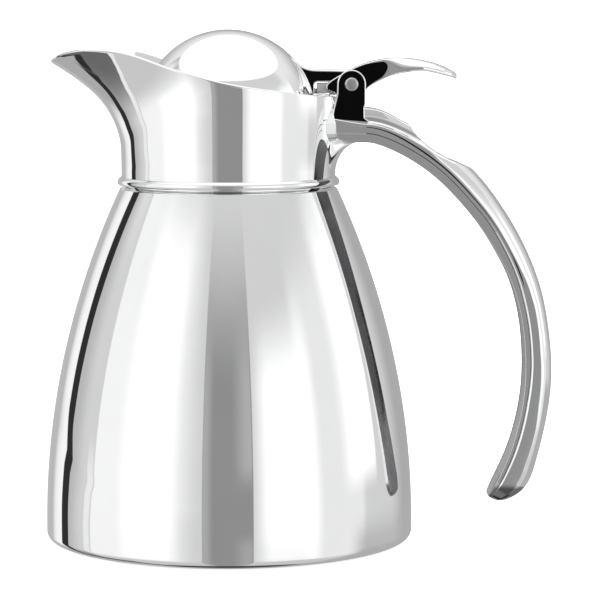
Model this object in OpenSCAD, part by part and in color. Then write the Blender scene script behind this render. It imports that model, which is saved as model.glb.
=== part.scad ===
// Thermal carafe with a flip lid: a double-wall steel flask with a spouted
// collar, a C-shaped handle and a domed stopper lid on a rear hinge.
// Millimetres. The origin is the centre of the base on the resting plane,
// +Z is up, the spout points to -X and the handle to +X.

/* [Body] */
// Outer radius of the body at the base
base_r = 60; // [59:0.5:61]
// Outer radius of the body at the top of the shoulder
neck_r = 35.5; // [35.2:0.1:35.8]
// Thickness of the outer steel wall
shell_t = 0.6; // [0.5:0.1:0.8]
// Thickness of the inner flask's steel wall
flask_t = 0.6; // [0.5:0.1:0.8]
// Distance between the outer faces of the shell and the flask
vacuum_gap = 6; // [5.8:0.1:6.4]
// Inner radius of the flask's throat
throat_r = 27; // [26.8:0.1:27.2]

/* [Collar and spout] */
// Wall thickness of the collar and spout
collar_t = 1.1; // [0.9:0.1:1.3]
// Radius of the lip at the end of the spout, seen from above
lip_r = 7.5; // [6.5:0.5:9]
// Thickness of the round bead on the neck
bead_d = 3.2; // [2.8:0.1:3.3]

/* [Lid] */
// Outer radius of the domed lid
dome_r = 28.7; // [28.5:0.1:28.8]
// Thickness of the dome's steel
dome_t = 0.6; // [0.5:0.1:0.7]
// Height of the dome's equator above the base
dome_z = 137.3; // [137.2:0.1:137.4]
// Half width of the arm that carries the lid
arm_w = 5.6; // [5.4:0.1:5.7]

/* [Hinge] */
// Distance of the hinge pin from the body's axis
pin_x = 39.9; // [39.8:0.1:40]
// Height of the hinge pin above the base
pin_z = 148.45; // [148.4:0.05:148.6]
// Radius of the hinge pin's shaft
pin_r = 1.5; // [1.3:0.1:1.5]
// Radial running clearance on the pin
pin_gap = 0.06; // [0.04:0.01:0.08]
// Distance of each ear's outer face from the middle plane
ear_y = 9.8; // [9.6:0.1:9.9]
// Thickness of each ear
ear_t = 1.6; // [1.2:0.1:1.6]
// Radius of the round top of each ear
ear_r = 4.55; // [4.4:0.05:4.6]

/* [Handle] */
// Half width of the handle at its crease
grip_w = 10; // [9.9:0.1:10.2]
// Sheet thickness of the hollow handle
grip_t = 1.4; // [1.1:0.1:1.6]
// Number of sections along the handle
grip_steps = 50; // [36:2:60]

/* [Hidden] */
$fn = 96;
e = 0.05;

steel = [0.86, 0.87, 0.88];
steel_dark = [0.62, 0.63, 0.65];
matte_grey = [0.72, 0.72, 0.72];

// ---- curves -------------------------------------------------------------
// Point on a cubic Bezier curve, and its unit normal to the right of travel
function bez(p, t) = pow(1-t,3)*p[0] + 3*pow(1-t,2)*t*p[1]
  + 3*(1-t)*t*t*p[2] + t*t*t*p[3];
function unit(v) = v / norm(v);
function bez_n(p, t) = let (h = 0.002,
    a = bez(p, max(t-h, 0)), b = bez(p, min(t+h, 1)), d = unit(b - a))
  [d[1], -d[0]];
// Smooth curve through a list of points or numbers, u counts the points
function cr(a, b, c, d, t) = 0.5*((2*b) + (c-a)*t + (2*a-5*b+4*c-d)*t*t
  + (3*b-a-3*c+d)*t*t*t);
function along(L, u) = let (n = len(L)-1, k = max(0, min(floor(u), n-1)))
  cr(L[max(k-1,0)], L[k], L[k+1], L[min(k+2,n)], u-k);
function clamp01(t) = max(0, min(1, t));
function smooth(t) = let (c = clamp01(t)) c*c*(3-2*c);

// ---- meshes -------------------------------------------------------------
// Closed in both directions: each row is a closed ring and the last row
// joins the first one
module ring_tube(rows) {
  m = len(rows); n = len(rows[0]);
  polyhedron(points = [for (r = rows) each r],
    faces = [for (j = [0:m-1], i = [0:n-1])
      let (a = j*n+i, b = j*n+(i+1)%n, c = ((j+1)%m)*n+(i+1)%n, d = ((j+1)%m)*n+i)
      each [[a, b, c], [a, c, d]]]);
}
// Solid through a row of closed sections with flat ends
module loft(rows) {
  m = len(rows); n = len(rows[0]);
  polyhedron(points = [for (r = rows) each r],
    faces = concat(
      [[for (i = [0:n-1]) n-1-i]],
      [for (j = [0:m-2], i = [0:n-1])
        let (a = j*n+i, b = j*n+(i+1)%n, c = (j+1)*n+(i+1)%n, d = (j+1)*n+i)
        each [[a, b, c], [a, c, d]]],
      [[for (i = [0:n-1]) (m-1)*n+i]]));
}
// Open channel: each section is an outer line followed by the inner line
// in reverse, and the ends are closed between the two
module channel(rows) {
  m = len(rows); n = len(rows[0]); h = n/2;
  polyhedron(points = [for (r = rows) each r],
    faces = concat(
      [for (i = [0:h-2]) each [[i, n-2-i, i+1], [i, n-1-i, n-2-i]]],
      [for (j = [0:m-2], i = [0:n-1])
        let (a = j*n+i, b = j*n+(i+1)%n, c = (j+1)*n+(i+1)%n, d = (j+1)*n+i)
        each [[a, b, c], [a, c, d]]],
      [for (i = [0:h-2]) let (o = (m-1)*n)
        each [[o+i, o+i+1, o+n-2-i], [o+i, o+n-2-i, o+n-1-i]]]));
}
// Prism drawn on the XZ plane, from y = a to y = b
module side_prism(a, b) {
  translate([0, b, 0]) rotate([90, 0, 0]) linear_extrude(height = b - a) children();
}
// Round bar or hole along Y
module y_cyl(r, a, b, x = pin_x, z = pin_z) {
  translate([x, b, z]) rotate([90, 0, 0]) cylinder(r = r, h = b - a);
}

// ---- body profile -------------------------------------------------------
shoulder_z = 114.4;
wall = [[base_r, 6], [base_r, 46.5], [49.6, 84.2], [neck_r, shoulder_z]];
function wall_in(d, t) = bez(wall, t) - d*bez_n(wall, t);
sleeve_r = 33.7;
bead_r = 34.6;
// Seat of the stopper: a 45 degree cone above the throat
seat_z = 125.5;
seat_r = 31.5;
flange_r = 33.7;
flask_floor = 9;

// ---- collar and spout ---------------------------------------------------
// Distance of the spout's front line from the axis, every 4 mm from z = 123
front = [34.9, 35, 35.5, 36.75, 38.7, 41.5, 45.5, 50.6, 56.7, 62.8, 69];
// Height of the rim every 10 degrees, from the lip round to the back
rim = [155.4, 157.6, 159.2, 158.7, 157.2, 155.5, 153.9, 152.5, 151.1, 149.7,
  148.3, 147.1, 146.3, 145.5, 144.9, 144.5, 144.3, 144.3, 144.4];
collar_z = 118.3;
function round_r(z) = 34.9 + 0.6*smooth((z-121)/23);
function front_r(z) = z < 123 ? 34.9 : along(front, (z-123)/4);
function nose_r(z) = let (t = clamp01((z-122)/34))
  34.9 + (lip_r-34.9)*(t > 0 ? pow(t, 0.8) : 0);
// Polar radius of the collar, a from the spout (0) to the back (180): a
// circle and a smaller one joined by straight sides
function collar_r(a, z) = let (
    R = round_r(z), f = max(front_r(z), R+0.001),
    q = min(nose_r(z), R-0.001), D = f-q, s = acos(min(1, (R-q)/D)),
    t = atan2(q*sin(s), D+q*cos(s)))
  a >= s ? R : a >= t ? R/cos(s-a) : D*cos(a) + sqrt(max(0, q*q - pow(D*sin(a), 2)));
function rim_z(a) = along(rim, a/10);
function collar_pt(a, z, d) = let (r = collar_r(abs(a), z) - d)
  [-r*cos(a), -r*sin(a), z];
// Angles round the collar, closer together near the lip
collar_a = [for (i = [-36:35]) let (s = i/36) 180*sign(s)*pow(abs(s), 1.25)];
collar_rows = 14;
function collar_row(d, k) = [for (a = collar_a)
  let (z = collar_z + (rim_z(abs(a)) - collar_z)*k) collar_pt(a, z, d)];

// ---- handle -------------------------------------------------------------
// Inner line of the handle from the collar to its lower end, as [x, z]
grip = [[36.2, 127.8], [41, 129.2], [46, 129.6], [52, 127.7], [58, 124.7],
  [64, 120.8], [70, 115.7], [76, 109.3], [82, 102], [87, 94.2], [91.2, 86.2],
  [94.2, 77.4], [96, 67.8], [96.7, 57.5], [96.3, 47.5], [94.6, 37.5],
  [91.9, 28.3], [88.6, 20.6], [85.4, 14.2]];
// Depth of the handle from its inner line to its crown, at the same points
depth = [11.5, 11.3, 11, 9.95, 9.75, 9.9, 10.25, 10.3, 9.7, 9.35, 8.9, 8.8,
  8.8, 9.1, 9.2, 9.25, 9.8, 9.9, 5.4];
// Depth where the thumb scoop is cut away
scoop = [[3.4, 10], [3.7, 8.4], [4, 7.5], [4.5, 6.85], [5, 6.6], [5.5, 7.35],
  [6, 9.1], [6.35, 10.5]];
u0 = 2; u1 = 17;
function grip_n(u) = let (d = unit(along(grip, u+0.01) - along(grip, u-0.01)))
  [-d[1], d[0]];
function grip_half(u) = grip_w - 1.3*smooth((u-3)/13);
function scoop_h(u) = u > 3.4 && u < 6.35 ? lookup(u, scoop) : 99;
// Half of the outer section as [y, h]: bottom edge, crease, ledge and crown
function grip_side(u, H, w) = let (
    hs = min(5, 0.55*H), f = 1 - smooth((u-6)/4.8), cut = scoop_h(u))
  concat([[w-1.2, 0], [w, hs]],
    [for (k = [1:6]) let (
        plain = [w*cos(k*15), hs + (H-hs)*sin(k*15)],
        b = (k-2)*22.5,
        ridge = k == 1 ? [w-1.6, 6.7] : [(w-2.3)*cos(b), 7.2 + (H-7.2)*sin(b)],
        p = f*ridge + (1-f)*plain)
      [p[0], min(p[1], cut)]]);
function mirrored(h) = concat(h, [for (i = [len(h)-2:-1:0]) [-h[i][0], h[i][1]]]);
function at_grip(u, q) = let (p = along(grip, u) + q[1]*grip_n(u))
  [p[0], q[0], p[1]];
function grip_line(u) = mirrored(grip_side(u, along(depth, u), grip_half(u)));
function grip_section(u) = let (o = grip_line(u), H = along(depth, u),
    sy = 1 - grip_t/grip_half(u), sh = 1 - grip_t/H)
  [for (q = concat(o, [for (i = [len(o)-1:-1:0]) [o[i][0]*sy, o[i][1]*sh]]))
    at_grip(u, q)];
function strip_section(u) = let (w = (grip_half(u)-1.2)*(1-grip_t/grip_half(u)) - e)
  [for (q = [[w, 0], [w, 1.1], [-w, 1.1], [-w, 0]]) at_grip(u, q)];

// ---- lever outline ------------------------------------------------------
lever_top = [[31.7, 147.8], [33.3, 149.5], [36.2, 151.3], [39.5, 153.1],
  [44.6, 155.2], [49.8, 156.4], [55.6, 156.85], [61.5, 156.4], [67.3, 155.1],
  [71.2, 153.5], [73.4, 152.2], [74.1, 151.1]];
lever_under = [[73.7, 150.3], [71.2, 151.1], [65.3, 152.4], [61.5, 152.6],
  [55.6, 151.8], [50.8, 150.3], [46, 147.8], [44.3, 146.2], [42.2, 144.7],
  [39.9, 144.1], [37.6, 144.7], [35.3, 145.3], [33.2, 146], [32, 146.5]];

// ==== body ===============================================================
module outer_shell() {
  color(steel) rotate_extrude($fn = 180) polygon(concat(
    [[54.5, 0], [base_r-2.5, 0]],
    [for (a = [15:15:75]) [base_r-2.5+2.5*sin(a), 2.5-2.5*cos(a)]],
    [[base_r, 2.5]],
    [for (i = [0:24]) bez(wall, i/24)],
    [[sleeve_r+0.35, shoulder_z+0.6], [sleeve_r, shoulder_z+0.9], [sleeve_r, 121],
     [sleeve_r-shell_t, 121], [sleeve_r-shell_t, shoulder_z+0.4]],
    [for (i = [23:-1:0]) wall_in(shell_t, i/24)],
    [[base_r-shell_t, 2.5]],
    [for (a = [75:-15:15]) let (r = 2.5-shell_t)
      [base_r-2.5+r*sin(a), 2.5-r*cos(a)]],
    [[base_r-2.5, shell_t], [54.5, shell_t]]));
}

// Outer line of the inner flask below its throat, d inside the outer face
function flask_line(d) = [for (i = [24:-1:3]) wall_in(vacuum_gap+d, i/24)];
module inner_flask() {
  color(steel_dark) rotate_extrude($fn = 144) {
    polygon(concat(
      [[0, flask_floor], [44, flask_floor]],
      [for (a = [20:20:80]) [44+10*sin(a), flask_floor+10-10*cos(a)]],
      [for (i = [3:24]) wall_in(vacuum_gap, i/24)],
      [[throat_r+flask_t, 117.2], [throat_r+flask_t, seat_z-0.3],
       [seat_r+flask_t, seat_z+seat_r-throat_r-0.3],
       [flange_r-0.3, seat_z+seat_r-throat_r-0.3],
       [flange_r, seat_z+seat_r-throat_r], [flange_r, seat_z+seat_r-throat_r+1.6],
       [flange_r-flask_t, seat_z+seat_r-throat_r+1.6],
       [flange_r-flask_t, seat_z+seat_r-throat_r+0.4],
       [seat_r+0.3, seat_z+seat_r-throat_r+0.3], [seat_r, seat_z+seat_r-throat_r],
       [throat_r, seat_z], [throat_r, 117]],
      flask_line(flask_t),
      [for (a = [80:-20:20]) [44+(10-flask_t)*sin(a), flask_floor+10-(10-flask_t)*cos(a)]],
      [[44, flask_floor+flask_t], [0, flask_floor+flask_t]]));
  }
}

// Thin foil wrapped round the flask in the vacuum space
module heat_foil() {
  color([0.8, 0.5, 0.35]) rotate_extrude($fn = 96) polygon(concat(
    [for (i = [4:21]) wall_in(vacuum_gap-1.2, i/24)],
    [for (i = [21:-1:4]) wall_in(vacuum_gap-1, i/24)]));
}

// Dished plate that closes the vacuum space at the bottom
module vacuum_bottom() {
  color(steel_dark) rotate_extrude($fn = 120) polygon([[1.6, 3.4], [7, 3.4],
    [8, 2.9], [57, 2.9], [base_r-shell_t-e, 3.6], [base_r-shell_t-e, 7.5],
    [base_r-2*shell_t-e, 7.5], [base_r-2*shell_t-e, 4.1], [56.8, 3.6],
    [8.3, 3.6], [7.3, 4.1], [1.6, 4.1]]);
}
module vacuum_seal() {
  color([0.45, 0.45, 0.47]) union() {
    translate([0, 0, 2.4]) cylinder(r = 5, h = 1, $fn = 48);
    translate([0, 0, 3.3]) cylinder(r = 1.55, h = 1.1, $fn = 48);
  }
}
// Gas-absorbing tablet and its clip under the flask's floor
module getter() {
  color([0.35, 0.35, 0.37]) translate([18, 0, 5.5]) cylinder(r = 4, h = 2.3, $fn = 48);
}
module getter_clip() {
  color(steel_dark) translate([18, 0, 0]) difference() {
    translate([-5.5, -2.5, 4.8]) cube([11, 5, 4.2]);
    translate([-4.7, -3, 5.4]) cube([9.4, 6, 2.9]);
    translate([-2.8, -3, 4]) cube([5.6, 6, 2]);
  }
}
// Flat cover snapped into the bottom of the shell
module base_cover() {
  color(steel) rotate_extrude($fn = 120) polygon([[0, 0], [53.6, 0], [54.3, 0.4],
    [54.3, 0.85], [56.8, 0.85], [56.8, 1.4], [53.4, 1.4], [53, 0.7], [0, 0.7]]);
}

// Round bead that covers the joint of shell and collar
module neck_bead() {
  color(steel) rotate_extrude($fn = 144) intersection() {
    translate([bead_r, 116.75]) circle(d = bead_d, $fn = 48);
    translate([sleeve_r+0.1, 115.3]) square([3, 2.9]);
  }
}
module spout_collar() {
  color(steel) ring_tube(concat(
    [for (k = [0:collar_rows]) collar_row(0, k/collar_rows)],
    [for (k = [collar_rows:-1:0]) collar_row(collar_t, k/collar_rows)]));
}

// ==== handle =============================================================
// Room taken by the collar, cut from what is welded to its back
module collar_room() {
  translate([0, 0, 110]) cylinder(r = 35.08, h = 12);
  translate([0, 0, 121.99]) cylinder(r1 = 35.08, r2 = 35.62, h = 18.02);
  translate([0, 0, 140]) cylinder(r = 35.62, h = 16);
}
// Foot of the handle: web, saddle and the start of the crown
module handle_root() {
  color(steel) difference() {
    union() {
      intersection() {
        side_prism(-16, 16) polygon([[30, 119.8], [35.75, 119.8], [36, 122.5],
          [37.2, 124.8], [39.2, 126.8], [42.2, 128.6], [44.2, 129.3],
          [45.95, 129.6], [46.95, 136.9], [30, 136.9]]);
        translate([30, 0, 0]) rotate([90, 0, 90]) linear_extrude(height = 20)
          polygon([[-4, 119], [4, 119], [6.5, 125], [10, 130], [10, 137], [-10, 137],
            [-10, 130], [-6.5, 125]]);
      }
      side_prism(-7.8, 7.8) polygon([[30, 136], [46.8, 136], [47.45, 140.5],
        [44.4, 141.15], [40, 141.2], [30, 141.2]]);
      intersection() {
        translate([0, 0, 128]) cylinder(r = 36.6, h = 9);
        translate([30, 0, 0]) rotate([90, 0, 90]) linear_extrude(height = 10)
          polygon([[-10, 137], [-13.8, 134.6], [-12.5, 131.5], [-9, 129.5],
            [9, 129.5], [12.5, 131.5], [13.8, 134.6], [10, 137]]);
      }
    }
    collar_room();
    for (s = [-1, 1]) translate([40.5, 4.2*s, 136.5]) cylinder(r = 1.05, h = 6, $fn = 32);
  }
}
// Hollow grip: crowned outside, creased along its sides, with a thumb scoop
module handle_shell() {
  color(steel) channel([for (i = [0:grip_steps])
    grip_section(u0 + 0.04 + (u1-u0-0.04)*i/grip_steps)]);
}
// Strip that closes the inner face of the grip
module handle_inner_strip() {
  color(steel) loft([for (i = [0:grip_steps])
    strip_section(u0 + 0.04 + (u1-u0-0.04)*i/grip_steps)]);
}
// Rounded plug that closes the lower end of the grip
cap_u = [17.03, 17.3, 17.55, 17.8, 18, 18.12];
cap_h = [9.8, 8.8, 7.6, 6.4, 5.3, 3.6];
cap_w = [8.7, 8.6, 8.4, 8.1, 7.5, 6.4];
module handle_end_cap() {
  color(steel_dark) loft([for (k = [0:5])
    [for (q = mirrored(grip_side(16.9, cap_h[k], cap_w[k]))) at_grip(cap_u[k], q)]]);
}

// ==== hinge ==============================================================
module ear_outline() {
  polygon(concat([[45.9, 137], [43.95, 138], [43.95, 141.7], [pin_x+ear_r, 142.1]],
    [for (a = [0:10:180]) [pin_x+ear_r*cos(a), pin_z+ear_r*sin(a)]],
    [[pin_x-ear_r, 145.6], [33.95, 137]]));
}
// Two ears joined by a plate that sits on the handle's crown
module hinge_bracket() {
  color([0.1, 0.1, 0.11]) difference() {
    union() {
      side_prism(-ear_y, -ear_y+ear_t) ear_outline();
      side_prism(ear_y-ear_t, ear_y) ear_outline();
      translate([34, -ear_y+ear_t-e, 141.25]) cube([9.4, 2*(ear_y-ear_t+e), 1]);
    }
    collar_room();
    y_cyl(pin_r+0.02, -12, 12);
    for (s = [-1, 1]) translate([40.5, 4.2*s, 140]) cylinder(r = 1.35, h = 4, $fn = 32);
  }
}
module bracket_screws() {
  color(steel_dark) for (s = [-1, 1]) translate([40.5, 4.2*s, 0]) difference() {
    union() {
      translate([0, 0, 136.7]) cylinder(r = 1, h = 6, $fn = 32);
      translate([0, 0, 142.3]) cylinder(r = 2.1, h = 1, $fn = 32);
    }
    translate([-3, -0.25, 142.9]) cube([6, 0.5, 1]);
  }
}
module hinge_pin() {
  color([0.6, 0.6, 0.6]) union() {
    y_cyl(pin_r, -ear_y-0.3, ear_y+0.9);
    translate([pin_x, -ear_y-e, pin_z]) rotate([90, 0, 0]) rotate_extrude($fn = 64)
      polygon([[0, 0], [2.15, 0], [2.15, 0.45], [1.9, 0.75], [0, 0.85]]);
  }
}
module pin_ring() {
  color(steel_dark) difference() {
    y_cyl(2.6, ear_y+e, ear_y+0.65);
    y_cyl(pin_r+0.01, ear_y-1, ear_y+2);
  }
}
// Torsion spring: coil round the bush, one leg on the plate, one on the block
coil_r = 2.9; wire_r = 0.3; coil_y = 2.6;
function coil_pt(t) = let (a = 180 + 360*4.75*t)
  [pin_x + coil_r*cos(a), -coil_y + 2*coil_y*t, pin_z + coil_r*sin(a)];
spring_path = concat(
  [[37, -coil_y, 142.6], [37, -coil_y, 144], [37, -coil_y, 146.5]],
  [for (i = [0:76]) coil_pt(i/76)],
  [[38.6, coil_y, 151.35], [37.2, coil_y, 151.15], [35.6, coil_y, 150.2], [34.2, coil_y, 149.35]]);
function frame_at(i) = let (n = len(spring_path)-1,
    d = unit(spring_path[min(i+1, n)] - spring_path[max(i-1, 0)]),
    a = unit(cross(d, abs(d[1]) > 0.9 ? [1, 0, 0] : [0, 1, 0])), b = cross(d, a))
  [a, b];
module hinge_spring() {
  color([0.5, 0.5, 0.5]) loft([for (i = [0:len(spring_path)-1]) let (f = frame_at(i))
    [for (k = [0:7]) spring_path[i] + wire_r*(cos(-45*k)*f[0] + sin(-45*k)*f[1])]]);
}

// ==== lid ================================================================
module lid_dome() {
  color(steel) difference() {
    union() {
      intersection() {
        translate([0, 0, dome_z]) sphere(r = dome_r, $fn = 144);
        translate([0, 0, dome_z+20]) cube([80, 80, 40], center = true);
      }
      translate([0, 0, 131]) cylinder(r = dome_r, h = dome_z-131+e, $fn = 144);
    }
    translate([0, 0, dome_z]) sphere(r = dome_r-dome_t, $fn = 144);
    translate([0, 0, 130]) cylinder(r = dome_r-dome_t, h = dome_z-130, $fn = 144);
    translate([20, -arm_w+0.7, 145.15]) cube([12, 2*arm_w-1.4, 2]);
  }
}
// Ring crimped round the stopper inside the dome's skirt
module dome_clamp_ring() {
  color(steel_dark) rotate_extrude($fn = 120) polygon([[26.9, 130.3],
    [dome_r-0.1, 130.3], [dome_r-0.1, 130.9], [dome_r-dome_t-0.1, 130.9],
    [dome_r-dome_t-0.1, 133.4], [27.5, 133.4], [27.5, 130.9], [26.9, 130.9]]);
}
module arm_outline() {
  polygon(concat([[18, 158.5], [20.1, 157.4], [22.6, 155.3], [24.9, 154], [26.5, 153.4],
    [29.1, 152.95], [33, 152.85], [pin_x-2, 152.8]],
    [for (a = [115:-23:-69]) [pin_x+4.2*cos(a), pin_z+4.2*sin(a)]],
    [[pin_x-2, 145.2], [18, 145.2]]));
}
// Inverted channel from the dome to the pin, with a tongue into the dome
module lid_arm() {
  color(steel) difference() {
    union() {
      difference() {
        side_prism(-arm_w, arm_w) arm_outline();
        translate([20, -arm_w+1, 140]) cube([40, 2*arm_w-2, 11.85]);
        y_cyl(4.2, -arm_w+1, arm_w-1, pin_x+0.6);
        translate([0, 0, dome_z]) sphere(r = dome_r+e, $fn = 144);
        translate([17, -8, 130]) cube([7, 16, 15.4]);
      }
      difference() {
        translate([6, -arm_w+1.1, 145.4]) cube([23, 2*arm_w-2.2, 1.4]);
        for (x = [11, 18]) translate([x, 0, 144]) cylinder(r = 1.35, h = 5, $fn = 32);
      }
      translate([27.9, -arm_w+0.9, 145.4]) cube([0.8, 2*arm_w-1.8, 7]);
    }
    // notch that shows the block
    side_prism(-10, 10) polygon([[28.9, 140], [28.9, 148.6], [29.3, 149.1],
      [35.4, 149.1], [35.6, 148.8], [35.6, 140]]);
    y_cyl(2.34, -10, 10);
  }
}
module hinge_block() {
  color(matte_grey) translate([29.2, -arm_w-0.2, 145.5]) cube([6, 2*arm_w+0.4, 3.4]);
}
module pivot_bush() {
  color([0.75, 0.66, 0.4]) difference() {
    y_cyl(2.3, -arm_w-0.1, arm_w+0.1);
    y_cyl(pin_r+pin_gap, -10, 10);
  }
}
cheek_i = arm_w + 0.3; cheek_o = arm_w + 1.9;
module thumb_lever() {
  color(steel) difference() {
    intersection() {
      side_prism(-12, 12) polygon(concat(
        [for (i = [0:44]) along(lever_top, i/4)],
        [for (i = [0:39]) along(lever_under, i/3)]));
      linear_extrude(height = 200) polygon(concat(
        [[30, -cheek_o], [46, -cheek_o], [52, -cheek_o-0.4], [58, -cheek_o-1],
         [63, -cheek_o-1.1], [67, -cheek_o-0.2], [70, -6.3], [72.4, -4], [74.2, -1.4]],
        [[74.2, 1.4], [72.4, 4], [70, 6.3], [67, cheek_o+0.2], [63, cheek_o+1.1],
         [58, cheek_o+1], [52, cheek_o+0.4], [46, cheek_o], [30, cheek_o]]));
    }
    translate([20, -cheek_i, 140]) cube([25.2, 2*cheek_i, 20]);
    y_cyl(pin_r+pin_gap, -12, 12);
  }
}
module lid_screws() {
  color(steel_dark) for (x = [11, 18]) translate([x, 0, 0]) difference() {
    union() {
      translate([0, 0, 138.5]) cylinder(r = 1.2, h = 9, $fn = 32);
      translate([0, 0, 146.85]) cylinder(r = 2.4, h = 1.3, $fn = 32);
    }
    translate([-3, -0.3, 147.6]) cube([6, 0.6, 1]);
  }
}
// Moulded plug: drum under the dome, groove for the gasket, tapered nose
module stopper_body() {
  color([0.12, 0.12, 0.13]) difference() {
    rotate_extrude($fn = 120) polygon([[22.6, 120.6], [24.2, 120.6], [26.2, 124.9],
      [26.2, 125.5], [25.4, 125.6], [25.4, 129.3], [26.7, 129.4], [26.7, 131],
      [27.3, 131.1], [27.3, 133.6], [27.9, 133.7], [27.9, 137.4], [27.3, 143.2],
      [25.6, 145.3], [0, 145.3], [0, 142.8], [23.6, 142.8], [23.6, 124.6],
      [22.6, 122.4]]);
    for (x = [11, 18]) translate([x, 0, 138]) cylinder(r = 1.22, h = 10, $fn = 32);
  }
}
module stopper_insulation() {
  color([0.93, 0.92, 0.88]) difference() {
    translate([0, 0, 122.6]) union() {
      translate([0, 0, 2.2]) cylinder(r = 23.4, h = 17.9, $fn = 96);
      cylinder(r1 = 22.3, r2 = 23.3, h = 2.25, $fn = 96);
    }
    for (x = [11, 18]) translate([x, 0, 137]) cylinder(r = 1.6, h = 10, $fn = 32);
  }
}
module stopper_bottom() {
  color(steel_dark) rotate_extrude($fn = 96) polygon([[0, 119.8], [22.8, 119.8],
    [24.1, 120.5], [22.5, 120.5], [22.5, 122.3], [21.8, 122.3], [21.8, 120.6],
    [0, 120.6]]);
}
// Silicone ring that closes on the cone of the seat
module lid_gasket() {
  color([0.8, 0.8, 0.78]) rotate_extrude($fn = 120) polygon([[25.5, 125.75],
    [26.4, 125.6], [29, 128.2], [29.3, 129], [28.9, 129.5], [26.8, 129.3],
    [25.5, 129.2]]);
}

outer_shell();
inner_flask();
heat_foil();
vacuum_bottom();
vacuum_seal();
getter();
getter_clip();
base_cover();
neck_bead();
spout_collar();
handle_root();
handle_shell();
handle_inner_strip();
handle_end_cap();
hinge_bracket();
bracket_screws();
hinge_pin();
pin_ring();
hinge_spring();
lid_dome();
dome_clamp_ring();
lid_arm();
hinge_block();
pivot_bush();
thumb_lever();
lid_screws();
stopper_body();
stopper_insulation();
stopper_bottom();
lid_gasket();
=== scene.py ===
import math

import bmesh
import bpy
import numpy as np
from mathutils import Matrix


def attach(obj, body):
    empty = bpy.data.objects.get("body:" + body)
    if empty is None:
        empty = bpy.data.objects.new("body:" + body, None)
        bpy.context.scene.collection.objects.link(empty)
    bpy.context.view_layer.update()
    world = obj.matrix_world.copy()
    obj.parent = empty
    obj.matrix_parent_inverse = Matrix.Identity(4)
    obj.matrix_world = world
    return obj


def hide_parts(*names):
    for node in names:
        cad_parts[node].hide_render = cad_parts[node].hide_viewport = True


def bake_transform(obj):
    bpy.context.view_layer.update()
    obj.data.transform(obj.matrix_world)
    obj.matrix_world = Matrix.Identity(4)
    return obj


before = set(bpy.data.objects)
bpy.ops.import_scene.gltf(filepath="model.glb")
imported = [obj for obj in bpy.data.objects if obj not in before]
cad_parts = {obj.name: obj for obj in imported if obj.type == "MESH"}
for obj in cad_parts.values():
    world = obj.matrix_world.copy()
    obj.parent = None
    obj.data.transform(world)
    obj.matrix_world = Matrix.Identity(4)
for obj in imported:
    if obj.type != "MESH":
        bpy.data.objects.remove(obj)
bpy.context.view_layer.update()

MM = 0.001
scene = bpy.context.scene

# ---- numbers shared with the construction, in millimetres -------------------
PIN_X, PIN_Z = 39.9, 148.45
WALL = [(60, 6), (60, 46.5), (49.6, 84.2), (35.5, 114.4)]
RIM = [155.6, 157.3, 159.2, 160.0, 159.3, 157.1, 154.6, 152.7, 150.9, 149.4,
       148.3, 147.4, 146.7, 146, 145.4, 145, 144.8, 144.7, 144.7]
FRONT = [34.9, 35, 35.5, 36.75, 38.7, 41.5, 45.6, 50.9, 57.2, 64.2, 72]
GRIP = [(36.2, 127.8), (41, 129.2), (46, 129.6), (52, 127.7), (58, 124.7), (64, 120.8),
        (70, 115.7), (76, 109.3), (82, 102), (87, 94.2), (91.2, 86.2), (94.2, 77.4),
        (96, 67.8), (96.7, 57.5), (96.3, 47.5), (94.6, 37.5), (91.9, 28.3), (88.6, 20.6),
        (85.4, 14.2)]
DEPTH = [11.5, 11.3, 11, 9.95, 9.75, 9.9, 10.25, 10.3, 9.7, 9.35, 8.9, 8.8,
         8.8, 9.1, 9.2, 9.25, 9.8, 9.9, 5.4]
SCOOP = [(3.4, 10), (3.7, 8.4), (4, 7.5), (4.5, 6.85), (5, 6.6), (5.5, 7.35),
         (6, 9.1), (6.35, 10.5)]


# ---- curves -----------------------------------------------------------------
def clamp01(t):
    return np.clip(t, 0, 1)


def smooth(t):
    t = clamp01(t)
    return t * t * (3 - 2 * t)


def spline(ys):
    """Natural cubic spline through values at 0, 1, 2 ..."""
    y = np.asarray(ys, float)
    n = len(y)
    A = np.zeros((n, n))
    b = np.zeros(n)
    A[0, 0] = A[-1, -1] = 1
    for i in range(1, n - 1):
        A[i, i - 1:i + 2] = (1, 4, 1)
        b[i] = 6 * (y[i - 1] - 2 * y[i] + y[i + 1])
    m = np.linalg.solve(A, b)

    def f(u):
        u = np.asarray(u, float)
        k = np.clip(np.floor(u).astype(int), 0, n - 2)
        t = u - k
        a, c = y[k], y[k + 1]
        ma, mc = m[k], m[k + 1]
        return (a * (1 - t) + c * t + ((1 - t) ** 3 - (1 - t)) * ma / 6
                + (t ** 3 - t) * mc / 6)
    return f


def bezier(p, t):
    p = np.asarray(p, float)
    t = np.asarray(t, float)[:, None]
    return ((1 - t) ** 3 * p[0] + 3 * (1 - t) ** 2 * t * p[1]
            + 3 * (1 - t) * t * t * p[2] + t ** 3 * p[3])


def arc(cx, cz, r, a0, a1, n):
    a = np.radians(np.linspace(a0, a1, n))
    return [(cx + r * math.cos(t), cz + r * math.sin(t)) for t in a]


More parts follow.
